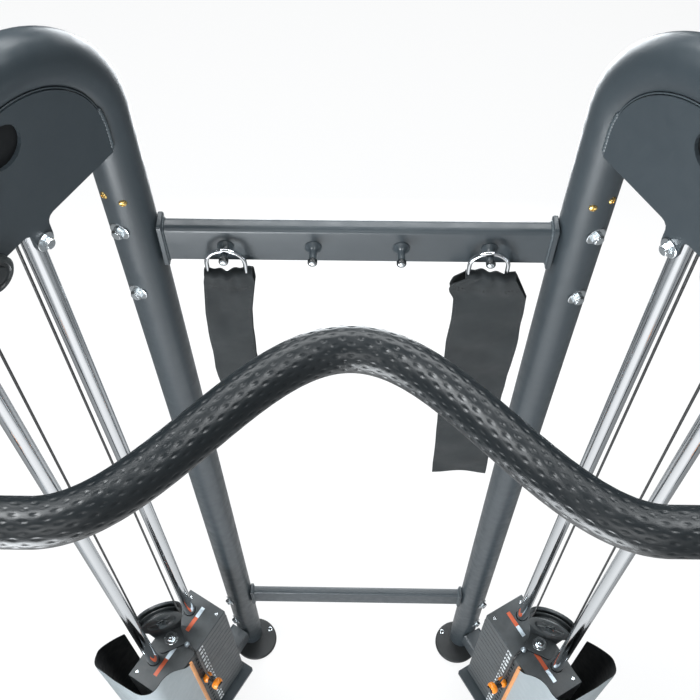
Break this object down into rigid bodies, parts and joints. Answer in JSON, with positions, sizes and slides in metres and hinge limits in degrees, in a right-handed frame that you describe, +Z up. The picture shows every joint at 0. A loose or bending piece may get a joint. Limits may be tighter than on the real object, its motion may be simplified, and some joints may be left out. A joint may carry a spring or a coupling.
{
  "type": "functional trainer",
  "caption": "Free-standing cable gym machine: mirrored bent-tube towers with weight stacks, sliding pulley carriages, and a wave-shaped pull-up bar.",
  "frame": {"origin": "on the floor, at the middle of the footprint", "axes": "+Z up; the user stands on the -Y side facing +Y; +X to the right seen from there"},
  "size_m": [1.5298, 0.7464, 2.1524],
  "materials": {
    "frame": "satin powder coat",
    "chrome": "polished",
    "iron": "black satin paint",
    "rubber": "matt",
    "nylon": "matt moulded",
    "shroud": "grey textured outside, black inside",
    "orange": "gloss",
    "zinc": "bright zinc plate",
    "webbing": "woven nylon",
    "cable": "smooth coated steel cable"
  },
  "bodies": {
    "frame": {"crossbar_top": "frame", "crossbar_bottom": "frame", "pull_up_bar": "frame", "pull_up_grip": "rubber", "hoop_tube_l": "frame", "hoop_tube_r": "frame", "top_plate_inner_l": "frame", "top_plate_inner_r": "frame", "top_plate_outer_l": "frame", "top_plate_outer_r": "frame", "base_tube_l": "frame", "base_tube_r": "frame", "adjust_column_l": "chrome", "adjust_column_r": "chrome", "guide_rod_rear_l": "chrome", "guide_rod_rear_r": "chrome", "guide_rod_front_l": "chrome", "guide_rod_front_r": "chrome", "weight_plates_rest_l": "iron", "weight_plates_rest_r": "iron", "stack_bumper_l": "rubber", "stack_bumper_r": "rubber", "shroud_l": "shroud", "shroud_r": "shroud", "stack_cable_rear_l": "cable", "stack_cable_rear_r": "cable", "stack_cable_front_l": "cable", "stack_cable_front_r": "cable"},
    "stack_l": {"head_plate_l": "iron", "weight_plates_lifted_l": "iron", "float_bracket_l": "iron"},
    "selector_pin_l": {"selector_pin_l": "orange"},
    "float_pulley_l": {"float_pulley_l": "nylon"},
    "top_pulley_rear_l": {"top_pulley_rear_l": "nylon"},
    "column_pulley_rear_l": {"column_pulley_rear_l": "nylon"},
    "top_pulley_front_l": {"top_pulley_front_l": "nylon"},
    "column_pulley_front_l": {"column_pulley_front_l": "nylon"},
    "column_pulley_low_l": {"column_pulley_low_l": "nylon"},
    "carriage_l": {"carriage_l": "frame"},
    "swivel_l": {"swivel_bracket_l": "frame"},
    "swivel_pulley_l": {"swivel_pulley_l": "nylon"},
    "pop_pin_l": {"pop_pin_l": "orange"},
    "strap_l": {"strap_ring_l": "chrome", "strap_l": "webbing"},
    "stack_r": {"head_plate_r": "iron", "weight_plates_lifted_r": "iron", "float_bracket_r": "iron"},
    "selector_pin_r": {"selector_pin_r": "orange"},
    "float_pulley_r": {"float_pulley_r": "nylon"},
    "top_pulley_rear_r": {"top_pulley_rear_r": "nylon"},
    "column_pulley_rear_r": {"column_pulley_rear_r": "nylon"},
    "top_pulley_front_r": {"top_pulley_front_r": "nylon"},
    "column_pulley_front_r": {"column_pulley_front_r": "nylon"},
    "column_pulley_low_r": {"column_pulley_low_r": "nylon"},
    "carriage_r": {"carriage_r": "frame"},
    "swivel_r": {"swivel_bracket_r": "frame"},
    "swivel_pulley_r": {"swivel_pulley_r": "nylon"},
    "pop_pin_r": {"pop_pin_r": "orange"},
    "strap_r": {"strap_ring_r": "chrome", "strap_r": "webbing"}
  },
  "joints": [
    {"name": "stack_lift_l", "type": "slide", "parent": "frame", "child": "stack_l", "axis": [0, 0, 1], "range_m": [0, 1.08], "deforming": ["stack_cable_rear_l", "stack_cable_front_l"]},
    {"name": "pin_pull_l", "type": "slide", "parent": "stack_l", "child": "selector_pin_l", "axis": [0.8572, -0.515, 0], "range_m": [0, 0.095]},
    {"name": "float_spin_l", "type": "hinge", "parent": "stack_l", "child": "float_pulley_l", "pos_m": [-0.40711, 0.14272, 0.71], "axis": [0.4226, -0.9063, 0], "continuous": true},
    {"name": "top_pulley_rear_spin_l", "type": "hinge", "parent": "frame", "child": "top_pulley_rear_l", "pos_m": [-0.4047, 0.16169, 2.005], "axis": [0.8572, -0.515, 0], "continuous": true},
    {"name": "column_pulley_rear_spin_l", "type": "hinge", "parent": "frame", "child": "column_pulley_rear_l", "pos_m": [-0.61174, -0.18289, 2.005], "axis": [0.8572, -0.515, 0], "continuous": true},
    {"name": "top_pulley_front_spin_l", "type": "hinge", "parent": "frame", "child": "top_pulley_front_l", "pos_m": [-0.43373, 0.08347, 2.005], "axis": [0.8572, -0.515, 0], "continuous": true},
    {"name": "column_pulley_front_spin_l", "type": "hinge", "parent": "frame", "child": "column_pulley_front_l", "pos_m": [-0.63975, -0.2594, 2.005], "axis": [0.8572, -0.515, 0], "continuous": true},
    {"name": "column_pulley_low_spin_l", "type": "hinge", "parent": "frame", "child": "column_pulley_low_l", "pos_m": [-0.64635, -0.25543, 0.19], "axis": [0.8572, -0.515, 0], "continuous": true},
    {"name": "carriage_slide_l", "type": "slide", "parent": "frame", "child": "carriage_l", "axis": [0, 0, 1], "range_m": [-0.825, 0.63]},
    {"name": "pop_pin_pull_l", "type": "slide", "parent": "carriage_l", "child": "pop_pin_l", "axis": [0.8572, -0.515, 0], "range_m": [0, 0.01]},
    {"name": "swivel_turn_l", "type": "hinge", "parent": "carriage_l", "child": "swivel_l", "pos_m": [-0.62574, -0.22114, 1.155], "axis": [0, 0, 1], "range_deg": [-90, 90]},
    {"name": "swivel_pulley_spin_l", "type": "hinge", "parent": "swivel_l", "child": "swivel_pulley_l", "pos_m": [-0.64274, -0.24943, 1.155], "axis": [0.8572, -0.515, 0], "continuous": true},
    {"name": "strap_swing_l", "type": "hinge", "parent": "frame", "child": "strap_l", "pos_m": [-0.174, 0.3023, 1.7468], "axis": [0, 1, 0], "range_deg": [-25, 3]},
    {"name": "stack_lift_r", "type": "slide", "parent": "frame", "child": "stack_r", "axis": [0, 0, 1], "range_m": [0, 1.08], "deforming": ["stack_cable_rear_r", "stack_cable_front_r"]},
    {"name": "pin_pull_r", "type": "slide", "parent": "stack_r", "child": "selector_pin_r", "axis": [-0.8572, -0.515, 0], "range_m": [0, 0.095]},
    {"name": "float_spin_r", "type": "hinge", "parent": "stack_r", "child": "float_pulley_r", "pos_m": [0.40711, 0.14272, 0.71], "axis": [-0.4226, -0.9063, 0], "continuous": true},
    {"name": "top_pulley_rear_spin_r", "type": "hinge", "parent": "frame", "child": "top_pulley_rear_r", "pos_m": [0.4047, 0.16169, 2.005], "axis": [-0.8572, -0.515, 0], "continuous": true},
    {"name": "column_pulley_rear_spin_r", "type": "hinge", "parent": "frame", "child": "column_pulley_rear_r", "pos_m": [0.61174, -0.18289, 2.005], "axis": [-0.8572, -0.515, 0], "continuous": true},
    {"name": "top_pulley_front_spin_r", "type": "hinge", "parent": "frame", "child": "top_pulley_front_r", "pos_m": [0.43373, 0.08347, 2.005], "axis": [-0.8572, -0.515, 0], "continuous": true},
    {"name": "column_pulley_front_spin_r", "type": "hinge", "parent": "frame", "child": "column_pulley_front_r", "pos_m": [0.63975, -0.2594, 2.005], "axis": [-0.8572, -0.515, 0], "continuous": true},
    {"name": "column_pulley_low_spin_r", "type": "hinge", "parent": "frame", "child": "column_pulley_low_r", "pos_m": [0.64635, -0.25543, 0.19], "axis": [-0.8572, -0.515, 0], "continuous": true},
    {"name": "carriage_slide_r", "type": "slide", "parent": "frame", "child": "carriage_r", "axis": [0, 0, 1], "range_m": [-0.825, 0.63]},
    {"name": "pop_pin_pull_r", "type": "slide", "parent": "carriage_r", "child": "pop_pin_r", "axis": [-0.8572, -0.515, 0], "range_m": [0, 0.01]},
    {"name": "swivel_turn_r", "type": "hinge", "parent": "carriage_r", "child": "swivel_r", "pos_m": [0.62574, -0.22114, 1.155], "axis": [0, 0, 1], "range_deg": [-90, 90]},
    {"name": "swivel_pulley_spin_r", "type": "hinge", "parent": "swivel_r", "child": "swivel_pulley_r", "pos_m": [0.64274, -0.24943, 1.155], "axis": [-0.8572, -0.515, 0], "continuous": true},
    {"name": "strap_swing_r", "type": "hinge", "parent": "frame", "child": "strap_r", "pos_m": [0.174, 0.3023, 1.7468], "axis": [0, 1, 0], "range_deg": [-3, 25]}
  ],
  "couplings": [
    {"joint": "float_spin_l", "follows": "stack_lift_l", "rad_per_m": 25},
    {"joint": "top_pulley_rear_spin_l", "follows": "stack_lift_l", "rad_per_m": 50},
    {"joint": "column_pulley_rear_spin_l", "follows": "stack_lift_l", "rad_per_m": 50},
    {"joint": "top_pulley_front_spin_l", "follows": "carriage_slide_l", "rad_per_m": 25},
    {"joint": "column_pulley_front_spin_l", "follows": "carriage_slide_l", "rad_per_m": 25},
    {"joint": "column_pulley_low_spin_l", "follows": "carriage_slide_l", "rad_per_m": 25},
    {"joint": "float_spin_r", "follows": "stack_lift_r", "rad_per_m": -25},
    {"joint": "top_pulley_rear_spin_r", "follows": "stack_lift_r", "rad_per_m": -50},
    {"joint": "column_pulley_rear_spin_r", "follows": "stack_lift_r", "rad_per_m": -50},
    {"joint": "top_pulley_front_spin_r", "follows": "carriage_slide_r", "rad_per_m": -25},
    {"joint": "column_pulley_front_spin_r", "follows": "carriage_slide_r", "rad_per_m": -25},
    {"joint": "column_pulley_low_spin_r", "follows": "carriage_slide_r", "rad_per_m": -25}
  ]
}
